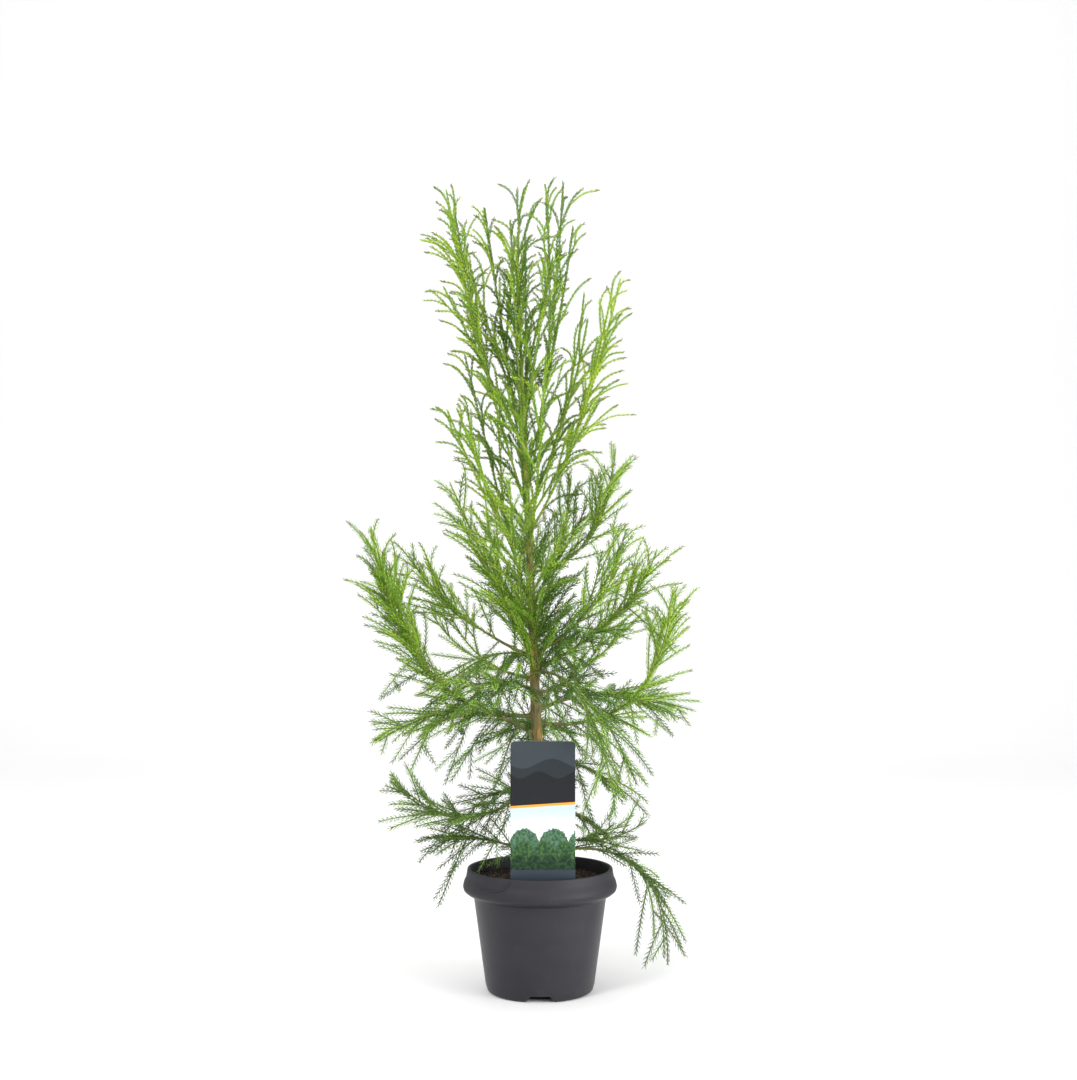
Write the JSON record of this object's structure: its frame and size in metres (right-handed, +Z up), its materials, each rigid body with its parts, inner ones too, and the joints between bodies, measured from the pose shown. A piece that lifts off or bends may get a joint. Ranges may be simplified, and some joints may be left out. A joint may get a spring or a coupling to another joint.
{
  "type": "japanese cedar",
  "caption": "Young upright conifer in a round nursery pot, with slim needle shoots, boughs that curve up and a plain plant label.",
  "frame": {"origin": "centre of the pot's flat underside, where it stands", "axes": "+Z up along the plant, +X to the plant's right as seen from the side that the label faces, +Y away from that side"},
  "size_m": [0.4539, 0.3379, 1.056],
  "materials": {
    "pot": "satin moulded plastic, anthracite grey",
    "soil": "moist crumbly potting compost, dark brown",
    "label": "printed plastic card, slate, pale blue and green",
    "bark": "fibrous red-brown bark, yellow-green on young wood",
    "needles": "short awl-shaped needles, fresh yellow-green to deep green"
  },
  "bodies": {
    "root": {"bough_back_left": "bark", "bough_back_mid": "bark", "bough_back_right": "bark", "bough_back_skirt": "bark", "bough_front_left": "bark", "bough_front_right": "bark", "bough_left_fan": "bark", "bough_left_inner": "bark", "bough_left_main": "bark", "bough_left_skirt": "bark", "bough_left_upper": "bark", "bough_low_left": "bark", "bough_low_right": "bark", "bough_right_fan": "bark", "bough_right_limb": "bark", "bough_right_main": "bark", "bough_right_mid": "bark", "bough_right_skirt": "bark", "bough_right_upper": "bark", "foliage_back_left": "needles", "foliage_back_mid": "needles", "foliage_back_right": "needles", "foliage_back_skirt": "needles", "foliage_crown_back": "needles", "foliage_crown_front": "needles", "foliage_crown_left": "needles", "foliage_front_left": "needles", "foliage_front_right": "needles", "foliage_front_riser": "needles", "foliage_inner_riser": "needles", "foliage_leader": "needles", "foliage_left_fan": "needles", "foliage_left_inner": "needles", "foliage_left_main": "needles", "foliage_left_riser": "needles", "foliage_left_skirt": "needles", "foliage_left_tall": "needles", "foliage_left_upper": "needles", "foliage_low_back_left": "needles", "foliage_low_back_right": "needles", "foliage_low_left": "needles", "foliage_low_right": "needles", "foliage_low_right_fan": "needles", "foliage_right_fan": "needles", "foliage_right_limb": "needles", "foliage_right_main": "needles", "foliage_right_mid": "needles", "foliage_right_skirt": "needles", "foliage_right_upper": "needles", "foliage_right_vase": "needles", "foliage_top_back": "needles", "foliage_top_front": "needles", "foliage_top_left": "needles", "foliage_top_left_outer": "needles", "foliage_top_right": "needles", "foliage_vase_inner": "needles", "plant_label": "label", "pot": "pot", "soil": "soil", "trunk": "bark"}
  },
  "joints": []
}
